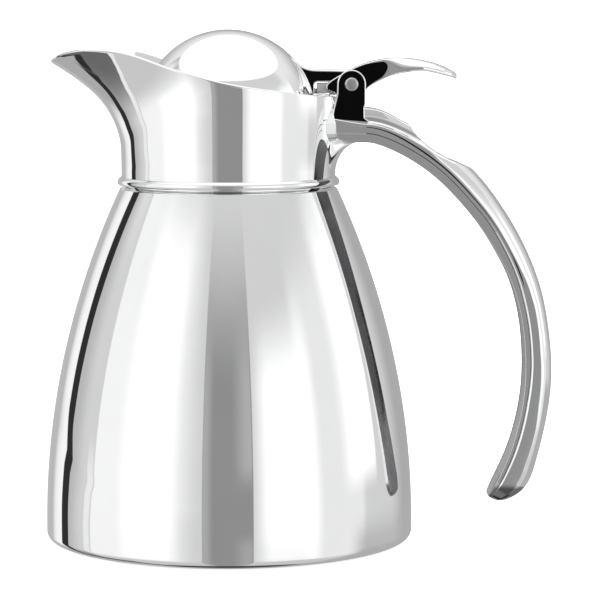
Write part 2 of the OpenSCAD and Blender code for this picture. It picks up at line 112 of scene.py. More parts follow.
# ---- meshes -----------------------------------------------------------------
def build(name, verts, faces, mats, body, face_mat=None, sharp=32, weld=0, flip=False, crisp=None):
    bm = bmesh.new()
    vs = [bm.verts.new((float(v[0]) * MM, float(v[1]) * MM, float(v[2]) * MM)) for v in verts]
    for i, f in enumerate(faces):
        try:
            face = bm.faces.new([vs[k] for k in f])
        except ValueError:
            continue
        face.smooth = True
        if face_mat is not None:
            face.material_index = face_mat[i]
    if weld:
        bmesh.ops.remove_doubles(bm, verts=bm.verts, dist=weld * MM)
    bad = [f for f in bm.faces if f.calc_area() < 1e-13]
    if bad:
        bmesh.ops.delete(bm, geom=bad, context="FACES_ONLY")
    bmesh.ops.recalc_face_normals(bm, faces=bm.faces)
    me = bpy.data.meshes.new(name)
    bm.to_mesh(me)
    bm.free()
    if flip:
        me.flip_normals()
    if sharp:
        me.set_sharp_from_angle(angle=math.radians(sharp))
    if crisp:
        m, cols = crisp
        for e in me.edges:
            a, b = e.vertices
            if a % m == b % m and a % m in cols:
                e.use_edge_sharp = True
    ob = bpy.data.objects.new(name, me)
    scene.collection.objects.link(ob)
    for m in mats:
        me.materials.append(m)
    if body:
        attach(ob, body)
    return ob


def grid_faces(rows, cols, wrap_rows=False, wrap_cols=False, base=0):
    out = []
    for j in range(rows if wrap_rows else rows - 1):
        for i in range(cols if wrap_cols else cols - 1):
            a = base + j * cols + i
            b = base + j * cols + (i + 1) % cols
            c = base + ((j + 1) % rows) * cols + (i + 1) % cols
            d = base + ((j + 1) % rows) * cols + i
            out.append((a, b, c, d))
    return out


def revolve(name, profile, mats, body, n=256, closed=True, sharp=32):
    prof = np.asarray(profile, float)
    ang = np.linspace(0, 2 * math.pi, n, endpoint=False)
    verts = [(r * math.cos(a), r * math.sin(a), z) for r, z in prof for a in ang]
    faces = grid_faces(len(prof), n, wrap_rows=closed, wrap_cols=True)
    return build(name, verts, faces, mats, body, sharp=sharp, weld=0.0005)


def ring_normals(pts):
    """Inward unit normals of a closed counter-clockwise outline."""
    p = np.asarray(pts, float)
    d = np.roll(p, -1, 0) - np.roll(p, 1, 0)
    d /= np.linalg.norm(d, axis=1)[:, None]
    return np.stack([-d[:, 1], d[:, 0]], 1)


def area2(pts):
    p = np.asarray(pts, float)
    q = np.roll(p, -1, 0)
    return float(np.sum(p[:, 0] * q[:, 1] - q[:, 0] * p[:, 1]))


def refine(pts, step=0.35, closed=True):
    """Adds points along straight runs so that insets stay even."""
    p = [np.asarray(q, float) for q in pts]
    out = []
    n = len(p)
    for i in range(n if closed else n - 1):
        a, b = p[i], p[(i + 1) % n]
        k = max(1, int(np.linalg.norm(b - a) / step))
        for j in range(k):
            out.append(a + (b - a) * j / k)
    if not closed:
        out.append(p[-1])
    return out


def round_corners(pts, radius, n=6):
    """Rounds every corner of a closed outline by the given radius (number or list)."""
    p = [np.asarray(q, float) for q in pts]
    m = len(p)
    rad = radius if hasattr(radius, "__len__") else [radius] * m
    out = []
    for i in range(m):
        a, b, c = p[i - 1], p[i], p[(i + 1) % m]
        u, v = a - b, c - b
        lu, lv = np.linalg.norm(u), np.linalg.norm(v)
        u, v = u / lu, v / lv
        cosang = float(np.clip(np.dot(u, v), -1, 1))
        ang = math.acos(cosang)
        if rad[i] <= 0 or ang > math.radians(176):
            out.append(b)
            continue
        t = min(rad[i] / math.tan(ang / 2), lu * 0.48, lv * 0.48)
        r = t * math.tan(ang / 2)
        w = (u + v) / np.linalg.norm(u + v)
        cen = b + w * (r / math.sin(ang / 2))
        s, e = b + u * t, b + v * t
        a0 = math.atan2(*(s - cen)[::-1])
        a1 = math.atan2(*(e - cen)[::-1])
        while a1 - a0 > math.pi:
            a1 -= 2 * math.pi
        while a1 - a0 < -math.pi:
            a1 += 2 * math.pi
        for k in range(n + 1):
            q = a0 + (a1 - a0) * k / n
            out.append(cen + r * np.array([math.cos(q), math.sin(q)]))
    return out


def inset(pts, nrm, r):
    """Moves a closed outline inwards; points that would cross at a corner meet there."""
    q = pts + nrm * r[:, None]
    if r.max() < 0.02:
        return q
    a, b = pts, np.roll(pts, -1, 0)
    ab = b - a
    L2 = np.maximum((ab ** 2).sum(1), 1e-12)
    t = np.clip(((q[:, None, :] - a[None]) * ab[None]).sum(-1) / L2[None], 0, 1)
    dist = np.linalg.norm(q[:, None, :] - (a[None] + t[..., None] * ab[None]), axis=-1).min(1)
    bad = dist < r * 0.92 - 1e-4
    n = len(q)
    if bad.any() and not bad.all():
        start = int(np.argmin(bad))
        k = 0
        while k < n:
            i = (start + k) % n
            if not bad[i]:
                k += 1
                continue
            run = [i]
            while bad[(i + len(run)) % n]:
                run.append((i + len(run)) % n)
            mid = (q[(i - 1) % n] + q[(i + len(run)) % n]) / 2
            q[run] = mid
            k += len(run)
    return q


def plate(name, outline, y_in, y_out, radii, mats, body, steps=6):
    """Flat piece drawn on the XZ plane between y_in and y_out, its edge at y_out rounded by
    radii, one for each outline point."""
    pts = np.asarray(outline, float)
    r = np.asarray(radii, float) if hasattr(radii, "__len__") else np.full(len(pts), float(radii))
    if area2(pts) < 0:
        pts, r = pts[::-1], r[::-1]
    nrm = ring_normals(pts)
    n = len(pts)
    sgn = 1 if y_out > y_in else -1
    rows = [(inset(pts, nrm, np.full(n, 0.12)), np.full(n, y_in)), (pts, np.full(n, y_in + sgn * 0.12))]
    for k in range(steps + 1):
        f = math.radians(90 * k / steps)
        rows.append((inset(pts, nrm, r * (1 - math.cos(f))), y_out - sgn * r * (1 - math.sin(f))))
    verts = [(q[0], y[i], q[1]) for qs, y in rows for i, q in enumerate(qs)]
    faces = grid_faces(len(rows), n, wrap_cols=True)
    last = (len(rows) - 1) * n
    faces.append(tuple(range(last, last + n)))
    faces.append(tuple(range(n - 1, -1, -1)))
    return build(name, verts, faces, mats, body, sharp=40, weld=0.002)


def dark_reflection_sheet(name, outline, radii, y, body, mat):
    """Thin near-black sheet lying on the flat of a plate: a painted dark reflection, hidden from reflections in other
    surfaces; its outline is the plate's flat.
    """
    pts = np.asarray(outline, float)
    r = np.asarray(radii, float) if hasattr(radii, "__len__") else np.full(len(pts), float(radii))
    if area2(pts) < 0:
        pts, r = pts[::-1], r[::-1]
    q = inset(pts, ring_normals(pts), r)
    n = len(q)
    sgn = 1 if y > 0 else -1
    verts = [(a[0], y - sgn * 0.03, a[1]) for a in q] + [(a[0], y + sgn * 0.03, a[1]) for a in q]
    faces = grid_faces(2, n, wrap_cols=True)
    faces += [tuple(range(n, 2 * n)), tuple(range(n - 1, -1, -1))]
    ob = build(name, verts, faces, [mat], body, sharp=40, weld=0.002)
    ob.visible_glossy = False
    return ob


def loft(name, rings, mats, body, sharp=40, face_mat=None, weld=0.0005, crisp=None):
    """Closed solid through rings of points, each ring a closed loop."""
    m = len(rings[0])
    verts = [p for r in rings for p in r]
    faces = grid_faces(len(rings), m, wrap_cols=True)
    fm = None if face_mat is None else list(face_mat) + [0, 0]
    faces += [tuple(range(m)), tuple(range((len(rings) - 1) * m, len(rings) * m))]
    return build(name, verts, faces, mats, body, face_mat=fm, sharp=sharp, weld=weld,
                 crisp=(m, crisp) if crisp else None)


def join(name, obs):
    """Joins meshes of one body into one object."""
    bpy.ops.object.select_all(action="DESELECT")
    for o in obs:
        o.select_set(True)
    bpy.context.view_layer.objects.active = obs[0]
    bpy.ops.object.join()
    obs[0].name = name
    obs[0].data.name = name
    return obs[0]


# ---- materials --------------------------------------------------------------
class Nodes:
    def __init__(self, tree):
        self.t = tree
        tree.nodes.clear()

    def new(self, kind, **props):
        nd = self.t.nodes.new(kind)
        for k, v in props.items():
            setattr(nd, k, v)
        return nd

    def link(self, a, b):
        self.t.links.new(a, b)

    def math(self, op, a, b=None, c=None, clamp=False):
        nd = self.new("ShaderNodeMath", operation=op, use_clamp=clamp)
        for i, v in enumerate((a, b, c)):
            if v is None:
                continue
            if isinstance(v, (int, float)):
                nd.inputs[i].default_value = v
            else:
                self.link(v, nd.inputs[i])
        return nd.outputs[0]

    def ramp(self, v, a, b, lo=0.0, hi=1.0, kind="SMOOTHSTEP"):
        nd = self.new("ShaderNodeMapRange", interpolation_type=kind, clamp=True)
        self.link(v, nd.inputs[0])
        nd.inputs[1].default_value = a
        nd.inputs[2].default_value = b
        nd.inputs[3].default_value = lo
        nd.inputs[4].default_value = hi
        return nd.outputs[0]


def surface(name, rough, metallic=1.0):
    m = bpy.data.materials.new(name)
    m.use_nodes = True
    g = Nodes(m.node_tree)
    out = g.new("ShaderNodeOutputMaterial")
    p = g.new("ShaderNodeBsdfPrincipled")
    p.inputs["Metallic"].default_value = metallic
    p.inputs["Roughness"].default_value = rough
    g.link(p.outputs[0], out.inputs[0])
    tc = g.new("ShaderNodeTexCoord")
    return m, g, p, tc.outputs["Object"]


def stretched(g, vec, sx, sy, sz):
    mp = g.new("ShaderNodeMapping")
    mp.inputs["Scale"].default_value = (sx, sy, sz)
    g.link(vec, mp.inputs["Vector"])
    return mp.outputs[0]


def noise(g, vec, scale, detail=4.0, rough=0.55, dist=0.0):
    n = g.new("ShaderNodeTexNoise")
    n.inputs["Scale"].default_value = scale
    n.inputs["Detail"].default_value = detail
    n.inputs["Roughness"].default_value = rough
    n.inputs["Distortion"].default_value = dist
    g.link(vec, n.inputs["Vector"])
    return n.outputs["Fac"]


def two_tone(g, fac, a, b, lo=0.35, hi=0.65):
    r = g.new("ShaderNodeValToRGB")
    r.color_ramp.elements[0].position = lo
    r.color_ramp.elements[0].color = (*a, 1)
    r.color_ramp.elements[1].position = hi
    r.color_ramp.elements[1].color = (*b, 1)
    g.link(fac, r.inputs[0])
    return r.outputs[0]


def bump(g, p, height, strength, dist):
    b = g.new("ShaderNodeBump")
    b.inputs["Strength"].default_value = strength
    b.inputs["Distance"].default_value = dist
    g.link(height, b.inputs["Height"])
    g.link(b.outputs[0], p.inputs["Normal"])


def polished(name, a=(0.925, 0.928, 0.935), b=(0.955, 0.957, 0.962), r0=0.012, r1=0.04):
    """Mirror-polished steel: buffing haze in patches, hair-fine wipe marks."""
    m, g, p, vec = surface(name, 0.03)
    haze = noise(g, vec, 38, 5, 0.6, 0.4)
    wipe = noise(g, stretched(g, vec, 900, 900, 60), 1.0, 3, 0.5)
    g.link(two_tone(g, haze, a, b), p.inputs["Base Color"])
    mix = g.math("ADD", g.math("MULTIPLY", haze, 0.7), g.math("MULTIPLY", wipe, 0.3))
    g.link(g.ramp(mix, 0.35, 0.75, r0, r1, "LINEAR"), p.inputs["Roughness"])
    bump(g, p, wipe, 0.03, 0.00002)
    return m


def brushed(name, a, b, r0, r1, sx, sy, sz, strength=0.25, metallic=1.0):
    """Satin metal with a directional grain."""
    m, g, p, vec = surface(name, 0.3, metallic)
    grain = noise(g, stretched(g, vec, sx, sy, sz), 1.0, 5, 0.65)
    cloud = noise(g, vec, 160, 4, 0.6)
    mix = g.math("ADD", g.math("MULTIPLY", grain, 0.6), g.math("MULTIPLY", cloud, 0.4))
    g.link(two_tone(g, mix, a, b), p.inputs["Base Color"])
    g.link(g.ramp(mix, 0.3, 0.7, r0, r1, "LINEAR"), p.inputs["Roughness"])
    bump(g, p, grain, strength, 0.00004)
    return m


def moulded(name, a, b, r0, r1, scale=700, strength=0.2, dist=0.00005):
    """Moulded plastic or rubber with a fine grained skin."""
    m, g, p, vec = surface(name, 0.4, 0.0)
    cloud = noise(g, vec, 90, 4, 0.6)
    fine = noise(g, vec, scale, 3, 0.6)
    g.link(two_tone(g, cloud, a, b), p.inputs["Base Color"])
    g.link(g.ramp(fine, 0.3, 0.7, r0, r1, "LINEAR"), p.inputs["Roughness"])
    bump(g, p, fine, strength, dist)
    return m


chrome = polished("polished_steel")
chrome_edge = polished("polished_edges", (0.93, 0.932, 0.938), (0.96, 0.962, 0.966), 0.04, 0.1)
# near-black polished steel: painted dark reflection on the flat faces of the ears, arm and lever, and painted shade in
# the handle's crease
painted_dark_reflection_shade = polished("painted_dark_reflection_and_shade", (0.009, 0.009, 0.010), (0.014, 0.014, 0.015), 0.06, 0.14)
satin = brushed("satin_steel", (0.5, 0.5, 0.51), (0.62, 0.62, 0.63), 0.22, 0.34, 1500, 1500, 90)
pin_end = brushed("pin_steel", (0.42, 0.42, 0.43), (0.66, 0.66, 0.67), 0.28, 0.42, 900, 900, 900, 0.4)
inner_steel = brushed("flask_steel", (0.6, 0.6, 0.61), (0.72, 0.72, 0.73), 0.16, 0.28, 120, 120, 1400)
copper = brushed("copper_foil", (0.78, 0.4, 0.24), (0.9, 0.55, 0.38), 0.15, 0.35, 300, 300, 300, 0.5)
getter_m = moulded("getter_grey", (0.16, 0.16, 0.17), (0.24, 0.24, 0.25), 0.6, 0.85, 1200, 0.5)
block_m = moulded("block_grey", (0.36, 0.36, 0.36), (0.47, 0.47, 0.47), 0.38, 0.55, 1100, 0.25)
bush_m = brushed("bush_bronze", (0.55, 0.42, 0.2), (0.72, 0.58, 0.32), 0.25, 0.4, 400, 1600, 400)
black_plastic = moulded("stopper_plastic", (0.018, 0.018, 0.02), (0.032, 0.032, 0.034), 0.3, 0.48)
foam_m = moulded("insulation_foam", (0.78, 0.75, 0.66), (0.9, 0.88, 0.8), 0.8, 0.95, 1600, 0.8, 0.0002)
gasket_m = moulded("gasket_silicone", (0.62, 0.61, 0.58), (0.74, 0.73, 0.7), 0.4, 0.6)
spring_m = brushed("spring_steel", (0.4, 0.4, 0.41), (0.55, 0.55, 0.56), 0.2, 0.35, 500, 500, 500)

strip_m = brushed("inner_strip_steel", (0.15, 0.15, 0.155), (0.26, 0.26, 0.265), 0.1, 0.2, 260, 2400, 260, 0.15)
# painted reflection: the handle's lower end turns dark grey below about 17 to 19 mm height, with a noisy border,
# standing in for the dark floor it reflects
end_floor_reflection_m, g, p, vec = surface("handle_end_painted_floor_reflection", 0.03)
sep = g.new("ShaderNodeSeparateXYZ")
g.link(vec, sep.inputs[0])
haze = noise(g, vec, 60, 5, 0.6, 0.4)
edge = g.math("ADD", sep.outputs[2], g.math("MULTIPLY", haze, 0.0022))
floor_reflection_mask = g.ramp(edge, 0.0172, 0.0190)
g.link(two_tone(g, floor_reflection_mask, (0.24, 0.24, 0.245), (0.94, 0.942, 0.948), 0, 1), p.inputs["Base Color"])
g.link(g.ramp(haze, 0.35, 0.75, 0.02, 0.07, "LINEAR"), p.inputs["Roughness"])
bump(g, p, noise(g, stretched(g, vec, 900, 900, 60), 1.0, 3, 0.5), 0.03, 0.00002)
# darker satin steel on the handle's seam line: a real seam notch, its darkness painted shade in the groove
seam_groove_shade_m = brushed("seam_painted_groove_shade", (0.16, 0.16, 0.165), (0.24, 0.24, 0.245), 0.2, 0.3, 300, 300, 300)

# ---- CAD pieces that keep their own shape -----------------------------------
KEEP = {
    "inner_flask": inner_steel, "heat_foil": copper, "vacuum_bottom": satin,
    "vacuum_seal": satin, "getter": getter_m, "getter_clip": satin,
    "base_cover": satin, "handle_end_cap": chrome, "bracket_screws": satin,
    "pin_ring": satin, "dome_clamp_ring": satin, "hinge_block": block_m,
    "pivot_bush": bush_m, "lid_screws": satin, "stopper_body": black_plastic,
    "stopper_insulation": foam_m, "stopper_bottom": inner_steel, "lid_gasket": gasket_m,
    "outer_shell": chrome, "neck_bead": chrome, "spout_collar": chrome,
    "handle_root": chrome, "handle_shell": chrome, "handle_inner_strip": chrome,
    "hinge_bracket": painted_dark_reflection_shade, "hinge_pin": pin_end, "hinge_spring": spring_m,
    "lid_dome": chrome, "lid_arm": chrome, "thumb_lever": chrome,
}
for node, mat in KEEP.items():
    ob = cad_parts[node]
    if not ob.material_slots:
        ob.data.materials.append(mat)
    for s in ob.material_slots:
        s.material = mat

# ---- camera -----------------------------------------------------------------
cam_data = bpy.data.cameras.new("photo_camera")
cam_data.lens = 163.56
cam_data.sensor_width = 36
cam_data.clip_start, cam_data.clip_end = 0.01, 50
cam = bpy.data.objects.new("photo_camera", cam_data)
cam.location = (0.0233, -0.8882, 0.1686)
cam.rotation_euler = (math.radians(84.16), 0, 0)
scene.collection.objects.link(cam)
scene.camera = cam

# ---- body -------------------------------------------------------------------
t = np.linspace(0, 1, 97)
outer = bezier(WALL, t)
d = np.gradient(outer, axis=0)
d /= np.linalg.norm(d, axis=1)[:, None]
inner = outer - 0.6 * np.stack([d[:, 1], -d[:, 0]], 1)
prof = [(54.5, 0.0)] + [(57.5 + 2.5 * math.sin(a), 2.5 - 2.5 * math.cos(a))
                        for a in np.radians(np.linspace(0, 90, 25))]
prof += [(60, 3.6), (60, 4.8)] + [tuple(q) for q in outer]
prof += [(34.3, 115.1), (33.75, 115.3), (33.7, 115.6), (33.7, 121), (33.1, 121), (33.1, 115)]
prof += [tuple(q) for q in inner[::-4]] + [(59.4, 2.5)]
prof += [(57.5 + 1.9 * math.sin(a), 2.5 - 1.9 * math.cos(a)) for a in np.radians(np.linspace(90, 0, 7))]
prof += [(54.5, 0.6)]
body_vis = revolve("body_shell", prof, [chrome], "carafe", n=320)
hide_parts("outer_shell")

bead = [(33.85, 115.75)] + arc(34.6, 116.75, 1.6, -38, 62, 26)
bead += [(35.25, 118.28), (34.1, 118.28)]
bead_vis = revolve("bead_ring", bead, [chrome], "carafe", n=320)
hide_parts("neck_bead")

# ---- collar and spout -------------------------------------------------------
front_f, rim_f = spline(FRONT), spline(RIM)


def round_r(z):
    return 34.9 + 0.6 * smooth((z - 121) / 23)


def collar_pt(w, z):
    """Point where the outward normal, seen from above, has angle w from the spout."""
    a = np.abs(w)
    R = round_r(z)
    f = np.where(z < 123, 34.9, front_f(np.maximum((z - 123) / 4, 0)))
    f = np.maximum(f, R + 0.001)
    q = np.maximum(34.9 - 27.4 * np.maximum((z - 119) / 37, 0), 3.0)
    q = np.minimum(q, R - 0.001)
    D = f - q
    k = 0.35 * (f - R) + 0.1
    e = (q + D * np.cos(a) - R) / k
    even = (f - R) / (k * np.logaddexp(0, (f - R) / k))
    h = R + even * k * np.logaddexp(0, e)
    hp = -even * D * np.sin(a) / (1 + np.exp(-np.clip(e, -60, 60)))
    x = h * np.cos(a) - hp * np.sin(a)
    y = h * np.sin(a) + hp * np.cos(a)
    return np.stack([-x, -np.sign(w) * y, z], -1)


def collar_frame(w, z):
    h = 1e-3
    P = collar_pt(w, z)
    dz = collar_pt(w, z + h * 20) - collar_pt(w, z - h * 20)
    T = dz / np.linalg.norm(dz, axis=-1)[..., None]
    side = np.stack([np.sin(np.abs(w)), -np.sign(w) * np.cos(w), np.zeros_like(w)], -1)
    side[w == 0] = (0, -1, 0)
    N = np.cross(T, side)
    N /= np.linalg.norm(N, axis=-1)[..., None]
    flat = np.stack([-np.cos(w), -np.sin(w), np.zeros_like(w)], -1)
    N *= np.sign(np.sum(N * flat, -1))[..., None]
    return P, N, T


COLLAR_T = 1.1
na = 420
s_ = (np.arange(na) + 0.5 - na / 2) / (na / 2)
cw = math.pi * s_
ztop = np.full(na, 150.0)
for _ in range(150):
    P, N, T = collar_frame(cw, ztop)
    polar = np.degrees(np.arctan2(np.abs(P[:, 1]), -P[:, 0]))
    want = rim_f(np.clip(polar, 0, 180) / 10)
    want = want + N[:, 2] * COLLAR_T / 2 - (COLLAR_T / 2) * np.hypot(N[:, 2], T[:, 2])
    ztop = 0.7 * ztop + 0.3 * want
rows = []
z0 = 118.3
n_up = 60
for k in range(n_up + 1):
    rows.append(collar_pt(cw, z0 + (ztop - z0) * (k / n_up)))
P, N, T = collar_frame(cw, ztop)
for k in range(1, 10):
    f = math.pi * k / 10
    rows.append(P - N * COLLAR_T / 2 + (COLLAR_T / 2) * (N * math.cos(f) + T * math.sin(f)))
for k in range(n_up, -1, -1):
    P, N, T = collar_frame(cw, z0 + (ztop - z0) * (k / n_up))
    rows.append(P - N * COLLAR_T)
verts = np.concatenate(rows)
collar_vis = build("collar_spout", verts, grid_faces(len(rows), na, True, True), [chrome], "carafe", sharp=50)
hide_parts("spout_collar")

# ---- handle -----------------------------------------------------------------
gx, gz = spline([p[0] for p in GRIP]), spline([p[1] for p in GRIP])
dep = spline(DEPTH)


def grip_pt(u):
    return np.array([float(gx(u)), float(gz(u))])


def grip_dir(u):
    d = grip_pt(u + 0.02) - grip_pt(u - 0.02)
    return d / np.linalg.norm(d)


def grip_half(u):
    return 10 - 1.3 * float(smooth((u - 3) / 13))


def scoop_h(u):
    us = [p[0] for p in SCOOP]
    if u <= us[0] - 0.05 or u >= us[-1] + 0.05:
        return 99.0
    return float(np.interp(u, us, [p[1] for p in SCOOP]))


def soft_min(a, b, k=0.35):
    h = max(0.0, min(1.0, 0.5 + 0.5 * (b - a) / k))
    return b * (1 - h) + a * h - k * h * (1 - h)


def half_section(u):
    """Half of the handle's outer line as (y, h), from the inner face round to the crown."""
    H, w = float(dep(u)) - 0.04, grip_half(u)
    ridge_on = float(1 - smooth((u - 4.6) / 0.8))
    l0 = float(np.interp(u, [8, 9, 10, 11, 13, 14.2, 17], [3.2, 2.85, 2.4, 2.05, 2.05, 1.5, 1.4]))
    l1 = float(np.interp(u, [8, 9, 10, 11, 13, 14.2, 16, 17], [3.6, 3.25, 2.8, 2.5, 2.5, 2.05, 1.95, 1.8]))
    c = float(np.interp(u, [2, 3, 3.5, 4.2, 5, 7.5, 8.5, 9.3, 10, 10.6],
                        [4.9, 4.85, 4.65, 4.4, 4.2, 4.2, 4.05, 3.85, 3.5, 3.3]))
    g = float(np.interp(u, [1.7, 2.6, 3.2, 4.5, 6, 7.2, 8.6, 9.2, 9.7, 10.2, 10.6],
                        [0.10, 0.16, 0.22, 0.25, 0.22, 0.15, 0.05, 0.06, 0.2, 0.2, 0]))
    b = max(c + g + 0.06, float(np.interp(u, [10, 11.2, 14, 15, 17], [3.8, 4.65, 4.65, 5.5, 5.8])))
    lean = float(np.interp(u, [8, 9.5], [0.16, 0.36]))
    dy = lean * (l1 - l0)
    yb = w - dy
    y0 = yb - 0.07 * (l0 - 0.57)
    sd = float(np.interp(u, [9.5, 11], [0.06, 0.04]))
    pts = []
    for q in np.linspace(0, 90, 8):
        a = math.radians(q)
        pts.append((y0 - 0.12 + 0.12 * math.sin(a), 0.12 - 0.12 * math.cos(a)))
    pts += [(y0 + (yb - y0) * f, 0.12 + (l0 - 0.57) * f) for f in (0.1, 0.25, 0.45, 0.7, 1)]
    pts += [(yb - sd, l0 - 0.42), (yb - sd, l0 - 0.17), (yb, l0 - 0.12), (yb, l0)]
    pts += [(w, l1), (w, l1 + 0.12)]
    gd = g * 1.1
    pts += [(w, c - g), (w - gd, c - 0.35 * g), (w - gd, c + 0.35 * g), (w, c + g), (w, b)]
    # crown
    b2 = float(np.interp(u, [9.5, 11.2], [b, max(b, H - 4.3)]))
    A, B, C_, D_ = (w, b2), (w, b2 + 0.55 * (H - b2)), (0.55 * w, H), (0.0, H)
    foot = min(5.75, b + 1.2)
    pad = [(w, b + (foot - b) * 0.33), (w - 0.01, b + (foot - b) * 0.66), (w - 0.03, foot),
           (w - 0.09, foot + 0.14), (w - 0.22, foot + 0.26), (w - 0.45, foot + 0.38), (w - 0.8, foot + 0.56),
           (w - 1.2, foot + 0.77), (w - 1.6, foot + 0.98), (w - 1.85, foot + 1.06), (w - 1.98, foot + 1.1),
           (w - 2.03, foot + 1.2), (w - 2.05, foot + 1.6), (w - 2.07, foot + 2.0), (w - 2.1, foot + 2.35),
           (w - 2.17, foot + 2.55), (w - 2.4, foot + 3.05), (w - 2.62, H - 0.5), (w - 2.78, H - 0.2),
           (w - 3.0, H - 0.07), (w - 3.4, H - 0.03), (w - 4.2, H - 0.01), (w - 5.4, H), (w - 6.8, H), (w - 8.2, H), (0.0, H)]
    n = len(pad)
    for i in range(1, n + 1):
        t = (i / n) ** 1.1
        plain = [(1 - t) ** 3 * A[j] + 3 * (1 - t) ** 2 * t * B[j] + 3 * (1 - t) * t * t * C_[j] + t ** 3 * D_[j]
                 for j in (0, 1)]
        q = pad[i - 1]
        pts.append((ridge_on * q[0] + (1 - ridge_on) * plain[0], ridge_on * q[1] + (1 - ridge_on) * plain[1]))
    cut = scoop_h(u)
    if cut < 50:
        pts = [(y, soft_min(h, cut)) for y, h in pts]
    return pts


# SEAM and CREASE columns get darker materials: painted shade in the seam groove and in the crease
SEAM, CREASE = (13,), (19, 20, 21)
CRISP = (7, 12, 13, 14, 15, 16, 17, 19, 20, 21, 22)


def crisp_cols(M):
    """Columns of a full section that stay crisp."""
    return set(CRISP) | {2 * M - 2 - k for k in CRISP}


def place(u, q):
    p = grip_pt(u)
    d = grip_dir(u)
    n = np.array([-d[1], d[0]])
    xz = p + q[1] * n
    return (xz[0], q[0], xz[1])


def full_section(half):
    """Open line over the crown from one inner edge to the other, y negative first."""
    return [(-y, h) for y, h in half] + [(y, h) for y, h in half[-2::-1]]


def line_mats(us_, M, m):
    """Material of each face of the grip: 1 in the fine seam, its groove darkened as painted shade, 2 in the crease,
    painted black as shade.
    """
    out = []
    for j in range(len(us_) - 1):
        u = float(us_[j])
        for i in range(m):
            k = i if i < M - 1 else 2 * M - 3 - i
            if i >= 2 * M - 2:
                out.append(3)
            elif k in SEAM:
                out.append(1)
            elif k in CREASE and u < 10.55:
                out.append(2)
            else:
                out.append(0)
    return out


U0, U1 = 1.75, 17.0
us = np.concatenate([np.linspace(U0, 7.2, 130)[:-1], np.linspace(7.2, U1, 170)])
rows = []
for u in us:
    half = half_section(float(u))
    line = full_section(half)
    w0 = half[0][0]
    rows.append([place(float(u), q) for q in line + [(w0 - 0.05, 0.9), (-(w0 - 0.05), 0.9)]])
M_half = len(half)
handle_vis = loft("handle_grip", rows, [chrome, seam_groove_shade_m, painted_dark_reflection_shade, strip_m], "carafe", sharp=38,
                  face_mat=line_mats(us, M_half, len(rows[0])), weld=0, crisp=crisp_cols(M_half))
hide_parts("handle_shell")

# strip along the inner face, a hair below the edges
rows = []
for u in us:
    w0 = half_section(float(u))[0][0] - 0.04
    c = [(w0 * x, 0.05 + 0.05 * x * x) for x in np.linspace(-1, 1, 9)]
    rows.append([place(float(u), q) for q in c + [(w0, 0.85), (-w0, 0.85)]])
strip_vis = loft("handle_strip", rows, [strip_m], "carafe", sharp=38)
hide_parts("handle_inner_strip")

# rounded lower end; its tip carries the painted dark floor reflection
cap_u = [17.0, 17.18, 17.36, 17.55, 17.72, 17.88, 18.0, 18.08, 18.12]
cap_h = [9.9, 9.55, 8.95, 8.15, 7.2, 6.2, 5.2, 4.2, 3.2]
cap_w = [8.72, 8.62, 8.42, 8.1, 7.65, 7.1, 6.4, 5.6, 4.7]
fu, fh, fw = spline(cap_u), spline(cap_h), spline(cap_w)
last = half_section(17.0)
rows = []
for v in np.linspace(0, 8, 41):
    sy, sh = float(fw(v)) / last[17][0], float(fh(v)) / last[-1][1]
    half = [(y * sy, h * sh) for y, h in last]
    rows.append([place(float(fu(v)), q) for q in full_section(half)])
cap_us = np.full(len(rows), 17.0)
cap_vis = loft("handle_end", rows, [end_floor_reflection_m, seam_groove_shade_m, painted_dark_reflection_shade, strip_m], "carafe", sharp=60,
               face_mat=line_mats(cap_us, M_half, len(rows[0])), weld=0, crisp=crisp_cols(M_half))
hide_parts("handle_end_cap")

# ---- foot of the handle: straight on from the grip, with a fillet on the collar ----
half = half_section(U0)
section = full_section(half)
w0 = half[0][0]
under = [(w0 * x, 0.0) for x in np.linspace(1, -1, 31)[1:-1]]
ring = section + under
ring_end = np.array([place(U0, q) for q in ring])
d0 = grip_dir(U0)
end_dir = np.array([d0[0], 0, d0[1]])
reach = []
for i, (y_, h_) in enumerate(ring):
    side = -1 if y_ < 0 else 1
    if i >= len(section):
        reach.append((10.6, 8.4, 0.0, -1.0))
        continue
    k = i if i < M_half else len(section) - 1 - i
    if k <= 12:
        v = (0.25 * k / 7) if k <= 7 else 0.25 + 0.75 * (k - 7) / 5
        a = math.radians(90 * v)
        f = float(1 - smooth(v * 1.05))
        reach.append((0.7 + 9.9 * f, 0.6 + 7.8 * f, side * math.sin(a), -math.cos(a)))
    elif k <= 23:
        v = (k - 12) / 11
        a = math.radians(55 * v * v)
        reach.append((0.7, 0.6, side * math.cos(a), math.sin(a)))
    else:
        v = float(smooth((k - 23) / 7))
        a = math.radians(55 + 35 * v)
        reach.append((0.7 * (1 - v) + 0.5 * v, 0.6 * (1 - v) + 0.5 * v, side * math.cos(a), math.sin(a)))
rows = []
K1, K2 = 20, 10
